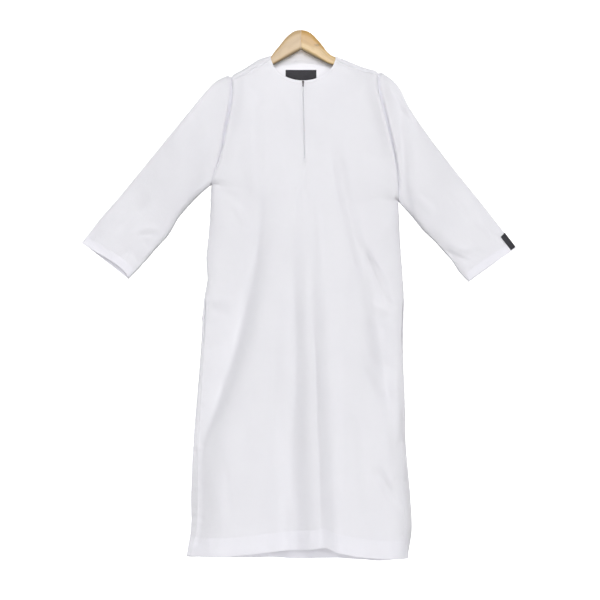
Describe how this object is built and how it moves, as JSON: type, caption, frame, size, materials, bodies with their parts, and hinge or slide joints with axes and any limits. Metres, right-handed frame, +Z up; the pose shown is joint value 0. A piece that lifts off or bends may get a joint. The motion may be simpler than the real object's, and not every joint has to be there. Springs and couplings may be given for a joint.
{
  "type": "thobe robe on wooden hanger",
  "caption": "Ankle-length white thobe robe with long sleeves, a scooped neck and a short front zip, hanging open-bottomed on a wooden hanger with a wire hook.",
  "frame": {"origin": "where a rail carries the hook, under the top of its bend", "axes": "+Z up, along the hanging robe; the front faces -Y; +X is the viewer's right from the front"},
  "size_m": [1.2338, 0.1297, 1.5884],
  "materials": {
    "white_cloth": "matte",
    "dark_label": "matte",
    "pale_wood": "satin",
    "bright_steel": "polished",
    "dark_metal": "satin",
    "zip_tape": "matte",
    "zip_coil": "matte"
  },
  "bodies": {
    "garment": {"front_panel": "white_cloth", "back_panel": "white_cloth", "left_sleeve": "white_cloth", "right_sleeve": "white_cloth", "back_neck_facing": "white_cloth", "left_pocket_facing": "white_cloth", "right_pocket_facing": "white_cloth", "zip_tape_left": "zip_tape", "zip_tape_right": "zip_tape", "zip_coil": "zip_coil", "zip_slider": "dark_metal", "neck_label": "dark_label", "cuff_label": "dark_label", "hanger_arm_left": "pale_wood", "hanger_arm_right": "pale_wood", "hanger_hook": "bright_steel"},
    "zip_pull": {"zip_pull_tab": "dark_metal"}
  },
  "joints": [
    {"name": "zip_pull_hinge", "type": "hinge", "parent": "garment", "child": "zip_pull", "pos_m": [0.00441, -0.03049, -0.2246], "axis": [-1, 0, 0], "range_deg": [0, 170]}
  ]
}
